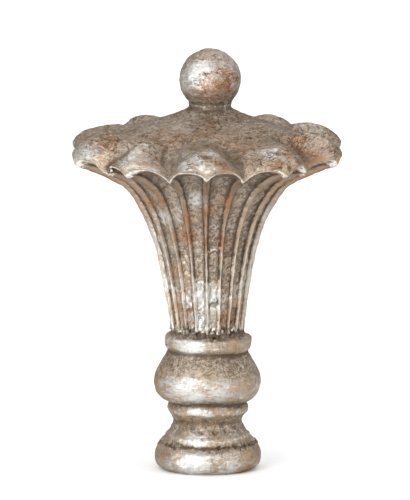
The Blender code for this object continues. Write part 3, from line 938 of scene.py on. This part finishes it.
# Clean leaf; the spots at the front left of the foot, fillet, bead, bulge, collar and ball, and on the
# trumpet's sides, stand for painted highlights
CLEAN_LEAF_AND_HIGHLIGHT_SPOTS = (
    (-17, 9.4, 1.9, 3.4, 0.9), (-16, 9.5, 15.6, 2.8, 0.6), (-23, 7.8, 22.9, 2.4, 1.0),
    (-17, 7.5, 5.8, 2.0, 1.0), (-12, 6.1, 8.4, 1.4, 0.6), (-9, 24.3, 58.6, 2.4, 0.45),
    (-10, 7.3, 11.0, 1.8, 0.8), (-13, 7.0, 31.5, 2.6, 0.5), (-12, 6.8, 28.0, 2.2, 0.5),
    (8, 6.9, 32.0, 2.0, 0.6), (30, 22.5, 59.9, 1.6, 0.6), (-20, 5.4, 71.5, 2.2, 0.9),
    (-66, 23.0, 57.5, 2.2, 0.5), (20, 9.5, 2.0, 2.6, 0.5), (10, 9.5, 14.8, 2.2, 0.4),
    (-45, 9.4, 15.5, 2.4, 0.6), (170, 9.4, 2.0, 3.0, 0.8), (-150, 9.5, 15.8, 3.0, 0.8),
    (140, 24.5, 57.8, 2.4, 0.8), (-6, 13.5, 50.5, 1.8, 0.7), (-24, 12.0, 47.5, 1.6, 0.5),
    (-42, 11.5, 46.5, 2.4, 0.7), (78, 12.0, 46.5, 3.0, 0.6), (80, 9.4, 40.0, 3.2, 0.5),
    (80, 8.2, 33.0, 3.2, 0.4), (-80, 10.0, 42.0, 3.0, 0.4), (-80, 8.2, 33.0, 3.0, 0.35),
    (100, 9.5, 15.8, 3.0, 0.7), (-90, 7.8, 22.9, 2.0, 0.7), (-160, 5.4, 71.5, 2.2, 0.8),
)


def laid(spots, table):
    """The strongest of the table's soft spots at each place."""
    return np.max([amount * soft_spot(spots, *place) for *place, amount in table], axis=0)


def paint(piece):
    """Writes the pits, the washes, the rust and the clean leaf with its painted highlights as
    attributes of the finished mesh.
    """
    spots = spots_of(piece) / MM
    radius = np.hypot(spots[:, 0], spots[:, 1])
    height = spots[:, 2]
    facing_up = spots_of(piece, "normal")[:, 2]
    over_cap = smooth_step(*OVER_CAP, facing_up) * (height > LEVEL["cap"] / MM)
    up, over, ball = (np.array(table).T for table in (WASH_UP, WASH_OVER, WASH_BALL))
    wash = np.interp(height, *up) * (1 - over_cap) + np.interp(radius, *over) * over_cap
    wash = np.where(height > LEVEL["ball"] / MM, np.interp(height, *ball), wash)
    write_layer(piece, "pit", np.max([soft_spot(spots, *pit) for pit in PITS], axis=0))
    write_layer(piece, "wash", wash + laid(spots, UMBER_SPOTS))
    write_layer(piece, "rust", laid(spots, RUST_SPOTS))
    write_layer(piece, "clean_and_highlight", laid(spots, CLEAN_LEAF_AND_HIGHLIGHT_SPOTS))


# Finish

LEAF_SILVER = (0.53, 0.52, 0.495, 1.0)
LEAF_CHAMPAGNE = (0.3, 0.25, 0.2, 1.0)
UMBER_PALE = (0.46, 0.395, 0.32, 1.0)
UMBER_THIN = (0.12, 0.082, 0.055, 1.0)
UMBER_THICK = (0.05, 0.03, 0.02, 1.0)
PIT_BLACK = (0.012, 0.009, 0.007, 1.0)
TAN_GLAZE = (0.37, 0.26, 0.155, 1.0)
RUST_ORANGE = (0.35, 0.165, 0.07, 1.0)
RUST_RED = (0.15, 0.06, 0.03, 1.0)
RIB_TAN = (0.33, 0.25, 0.175, 1.0)
# Cream of the lower ribs' crests, partly a painted highlight
RIB_CREAM_HIGHLIGHT = (0.57, 0.51, 0.43, 1.0)
# White of worn leaf, also the painted highlight along the rim's edge
WORN_WHITE_AND_HIGHLIGHT = (0.8, 0.78, 0.75, 1.0)
EDGE_TINT = (0.5, 0.43, 0.36, 1.0)

# Noises of the finish, from the broadest to the finest: scale per mm, detail and roughness
FINISH_NOISES = ((0.2, 2.0), (0.6, 3.0, 0.6), (1.9, 4.0, 0.7), (4.5, 3.0, 0.65))
# Noises drawn out round the casting: scale per mm sideways and up, detail, roughness and distortion
DRAWN_NOISES = ((0.5, 1.7, 4.0, 0.7, 0.7), (0.45, 1.3, 2.0, 0.55, 0.8), (0.5, 0.8, 3.0, 0.6, 1.2))
# Where the painted shade on a rib's sides lies in the mask of the ribs: middle and half width
RIB_SIDE = (0.24, 0.23)
CREASE_LIMIT = 1.5
BUMP_HEIGHT = 0.065 * MM


def mix(tree, amount, first, second):
    return tree.value("ShaderNodeMix", {"data_type": "RGBA"}, 2, _0=amount, _6=first, _7=second)


def painted(tree, *names):
    """The masks that the mesh carries under those names."""
    return [
        tree.value("ShaderNodeAttribute", {"attribute_type": "GEOMETRY", "attribute_name": name}, "Fac")
        for name in names
    ]


def leaf_material():
    """Antique silver leaf: silver and champagne, umber in the hollows, rust patches, worn edges, and
    painted light: shade on the ribs' sides, highlights on their crests, along the rim's edge and on
    some clean patches.

    Each layer's amount is a sum of masks and noises, with given weights. Its step says where the
    layer starts and where it is whole, and the factor after that how much it covers.
    """
    material = bpy.data.materials.new("antique_silver_leaf")
    material.use_nodes = True
    tree = Tree(material.node_tree)
    shader = material.node_tree.nodes["Principled BSDF"]
    spot = tree.vector("SCALE", tree.value("ShaderNodeTexCoord", output="Object"), Scale=1 / MM)
    x, y, height = tree.split(spot)

    # Masks
    wash, rust, clean_and_highlight, crust, plaster, pit = painted(
        tree, "wash", "rust", "clean_and_highlight", "crust", "plaster", "pit")
    rib, floor, outline, edge = painted(tree, "rib", "floor", "outline", "edge")
    hollow, fold = (
        mask.high(-CREASE_LIMIT).low(CREASE_LIMIT) for mask in painted(tree, "hollow", "fold"))
    upper = height.step(*UPPER_TRUMPET)
    capped = height.step(*CAP_START)
    rounded = height.step(*BALL_START)
    bare = 1 - (rib + floor).clamped()
    turned = bare * (1 - capped)
    # The ribs' sides, which get painted shade
    side = rib.near(*RIB_SIDE)

    # Noises
    along = painted(tree, "along")[0] / MM
    blotch, cloud, mottle, dust = (tree.swing(spot, *noise) for noise in FINISH_NOISES)
    brushed, hatched, veined = (
        tree.swing(tree.combine(x * sideways, y * sideways, along * up), 1.0, *rest)
        for sideways, up, *rest in DRAWN_NOISES
    )
    crumbled = tree.swing(spot, 1.0, 3.0, 0.6, 0.8)
    streaks = brushed * bare

    # Silver and champagne leaf under a tan glaze
    # The umber wash, with painted shade added down the ribs' sides
    wash_and_rib_shade = (
        wash + (hollow * 0.16 + fold * 0.22) * (1 - crust * 0.5) + crust * 0.15
        - clean_and_highlight * 0.5 - plaster * 0.3 + side * 0.35 + outline * 0.4
        + blotch * 0.12 + cloud * 0.16 + mottle * 0.4 + streaks * 0.2 + dust * 0.24
    )
    silvered = cloud * 0.3 + mottle * 0.35 + clean_and_highlight * 0.8 + streaks * 0.2 - wash_and_rib_shade * 0.3 + 0.1
    colour = mix(tree, silvered.step(-0.2, 0.35), LEAF_CHAMPAGNE, LEAF_SILVER)
    tanned = blotch * 0.4 + cloud * 0.3 + streaks * 0.8 - clean_and_highlight * 0.6 + wash * 0.3 + turned * 0.2
    colour = mix(tree, tanned.step(-0.2, 0.5) * (turned * 0.1 + 0.7), colour, TAN_GLAZE)

    # Umber wash, painted shade on the ribs' sides, and the ribs' pale crests with a painted highlight
    thinned = mottle * 0.5 + dust * 0.5 + cloud * (capped * 0.3 + 0.15)
    umber = mix(tree, thinned.step(-0.17, 0.19), UMBER_THIN, UMBER_PALE)
    colour = mix(tree, wash_and_rib_shade.step(0.15, 0.8) * 0.92, colour, umber)
    # Painted shade: the ribs' sides darkened towards thick umber
    shaded = side * (mottle * 0.6 + cloud * 0.4 + 0.85)
    colour = mix(tree, shaded.clamped() * 0.88, colour, UMBER_THICK)
    # The ribs' own tan above and cream below, laid on their crests as a painted highlight
    rib_colour_and_highlight = mix(tree, (upper + mottle * 0.3).clamped(), RIB_CREAM_HIGHLIGHT, RIB_TAN)
    crest_and_highlight = (rib + mottle * 0.25 + cloud * 0.2).step(0.38, 0.95) * (1 - crust - clean_and_highlight * 0.6).clamped()
    colour = mix(tree, crest_and_highlight * 0.75, colour, rib_colour_and_highlight)

    # Rust patches
    rusting = (
        rust * 0.75 + rust.low(1.0) * (mottle * 0.45 + dust * 0.35 + streaks * 0.35)
        + rib * upper * 0.4 - clean_and_highlight * 0.35
        + blotch * 0.2 + cloud * 0.35 + mottle * 0.35 + streaks * 0.4 + dust * 0.2
        + capped * 0.1 - turned * 0.1 + 0.08
    )
    red = (mottle * 0.5 - dust * 0.2 + hollow * 0.3).step(-0.1, 0.6)
    rusty = mix(tree, red, RUST_ORANGE, RUST_RED)
    rusty = mix(tree, turned * 0.65, rusty, TAN_GLAZE)
    colour = mix(tree, rusting.step(0.1, 1.1) * 0.82, colour, rusty)

    # Umber caked in the creases and deepening the painted shade on the ribs' sides; edges worn white,
    # and a painted highlight along the rim's edge
    thick = wash_and_rib_shade + mottle * 0.45 + dust * 0.4 + fold * 0.1
    colour = mix(tree, thick.step(0.95, 1.7) * 0.85, colour, UMBER_THICK)
    # Worn leaf where the noises and crust say so, and a painted highlight along the rim's edge
    wear_and_rim_highlight = (
        clean_and_highlight * 0.2 - fold * 0.4 + mottle * 0.35 + dust * 0.35 - wash_and_rib_shade * 0.2 - rib * 0.3 - rust * 0.4
        + crust * (1 - turned) * 0.4 + edge * (mottle * 0.8 + dust * 0.3 + 0.8)
    )
    colour = mix(tree, wear_and_rim_highlight.step(0.5, 1.0) * 0.85, colour, WORN_WHITE_AND_HIGHLIGHT)

    # Dark marks: cracks where the wash flakes, small pits, scored lines, crumbs and veins
    stir = tree.value("ShaderNodeTexNoise", output="Color", Vector=spot, Scale=1.3, Detail=2.0)
    warped = tree.vector("ADD", spot, tree.vector("SCALE", stir, Scale=1.0))
    cracks = tree.cells(warped, 0.75, "DISTANCE_TO_EDGE").step(0.1, 0.02)
    flaking = ((blotch * 0.6 + cloud * 0.5).step(-0.1, 0.35) * 0.6 + wash_and_rib_shade.near(0.4, 0.3)).clamped()
    cracked = cracks * flaking * bare
    pitted = tree.cells(spot, 0.9).step(0.2, 0.11) * (cloud * 0.5 - mottle * 0.5).step(0.0, 0.3)
    pitted = pitted * (1 - turned)
    patchy = (cloud * 0.8 + blotch * 0.5 + 0.3).clamped()
    scored = abs(hatched).step(0.1, 0.0) * bare
    scored = scored * (capped * 0.6 + blotch * 0.3 + cloud * 0.4 + 0.2).clamped()
    crumbs = abs(crumbled).step(0.2, 0.0) * (floor * patchy + crust + capped * patchy * 0.6).clamped()
    veins = abs(veined).step(0.14, 0.02) * capped * (1 - rounded)
    veins = veins * (blotch * 0.5 + cloud * 0.6 + 0.75).clamped()
    marks = cracked * 0.6 + pitted * 0.7 + scored * 0.75 + crumbs * 0.75 + veins * 0.65 - edge
    marks = marks.clamped() * (1 - turned * 0.25)
    colour = mix(tree, marks, colour, UMBER_THICK)
    pitting = (pit * (1 + mottle * 0.4 + dust * 0.3)).step(0.25, 0.7)
    colour = mix(tree, pitting, colour, PIT_BLACK)

    # Gloss and skin
    dull = wash_and_rib_shade.step(0.1, 0.9)
    metallic = 0.95 - dull * 0.45 - marks * 0.2 - pitting * 0.4 - edge * 0.9
    roughness = dull * 0.1 + mottle * 0.07 + pitting * 0.4 + turned * 0.09 + rounded * 0.1 + 0.39
    skin = (
        cloud * 0.3 + mottle * 0.5 + dust * 0.25 + streaks * 0.5
        + crumbled * floor * patchy * 0.6 - marks * 0.6
    )
    bump = tree.value("ShaderNodeBump", Strength=1.0, Distance=BUMP_HEIGHT, Height=skin)
    for name, value in (
        ("Base Color", colour), ("Metallic", metallic.high(0.0)), ("Roughness", roughness),
        ("Specular Tint", EDGE_TINT), ("Normal", bump),
    ):
        tree.put(shader.inputs[name], value)
    return material


# Stage

PIXEL = 0.178 * MM
CAMERA_ELEVATION = math.radians(9.5)
CAMERA_DISTANCE = 2.5
CAMERA_TARGET = Vector((0.0, 0.0, 37.78 * MM))
# Where the target falls, in pixels right of and below the picture's middle
TARGET_IN_PICTURE = (2.5, 8.5)
PICTURE_HEIGHT = 500
SENSOR_WIDTH = 36.0
CLIP_START = 0.1
FLOOR_SIZE = 3.0
FLOOR_WHITE = (0.9, 0.9, 0.9, 1.0)
FLOOR_ROUGHNESS = 0.8
FLOOR_SPECULAR = 0.2


def make_camera():
    look = Vector((0.0, math.cos(CAMERA_ELEVATION), -math.sin(CAMERA_ELEVATION)))
    up = Vector((0.0, math.sin(CAMERA_ELEVATION), math.cos(CAMERA_ELEVATION)))
    right = Vector((1.0, 0.0, 0.0))
    aim = CAMERA_TARGET - right * TARGET_IN_PICTURE[0] * PIXEL + up * TARGET_IN_PICTURE[1] * PIXEL
    data = bpy.data.cameras.new("camera")
    data.sensor_width = SENSOR_WIDTH
    data.lens = data.sensor_width * CAMERA_DISTANCE / (PICTURE_HEIGHT * PIXEL)
    data.clip_start = CLIP_START
    camera = new_object("camera", data)
    camera.location = aim - look * CAMERA_DISTANCE
    camera.rotation_euler = look.to_track_quat("-Z", "Y").to_euler()
    bpy.context.scene.camera = camera


def make_floor():
    mesh = bmesh.new()
    bmesh.ops.create_grid(mesh, x_segments=1, y_segments=1, size=FLOOR_SIZE)
    floor = new_object("floor", mesh)
    material = bpy.data.materials.new("pale_floor")
    material.use_nodes = True
    shader = material.node_tree.nodes["Principled BSDF"]
    shader.inputs["Base Color"].default_value = FLOOR_WHITE
    shader.inputs["Roughness"].default_value = FLOOR_ROUGHNESS
    shader.inputs["Specular IOR Level"].default_value = FLOOR_SPECULAR
    floor.data.materials.append(material)


# Softboxes: place, watts, side and colour
SOFTBOXES = (
    ((-0.5, -0.85, 0.2), 11.0, 0.5, (0.96, 0.98, 1.0)),
    ((0.8, -0.5, 0.3), 3.0, 0.35, (0.97, 0.98, 1.0)),
    ((0.0, 0.2, 1.6), 68.0, 4.0, (0.98, 0.99, 1.0)),
)
STUDIO_GREY = 0.38


def make_lights():
    for number, (place, power, side, colour) in enumerate(SOFTBOXES):
        data = bpy.data.lights.new(f"softbox_{number}", "AREA")
        data.energy = power
        data.size = side
        data.color = colour
        light = new_object(data.name, data)
        light.location = place
        light.rotation_euler = (CAMERA_TARGET - Vector(place)).to_track_quat("-Z", "Y").to_euler()
    world = bpy.data.worlds.new("studio")
    world.use_nodes = True
    background = world.node_tree.nodes["Background"]
    background.inputs["Color"].default_value = (1.0, 1.0, 1.0, 1.0)
    background.inputs["Strength"].default_value = STUDIO_GREY
    bpy.context.scene.world = world
    bpy.context.scene.view_settings.view_transform = "Standard"


def main():
    make_camera()
    leaf = leaf_material()
    finial = make_blank()
    run_tree(finial, form_tree(leaf), FORM_INPUTS)
    lay_marks(finial)
    run_tree(finial, relief_tree(leaf), RELIEF_INPUTS)
    paint(finial)
    finial.data.shade_smooth()
    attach(finial, "root")
    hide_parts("finial")
    make_floor()
    make_lights()


main()
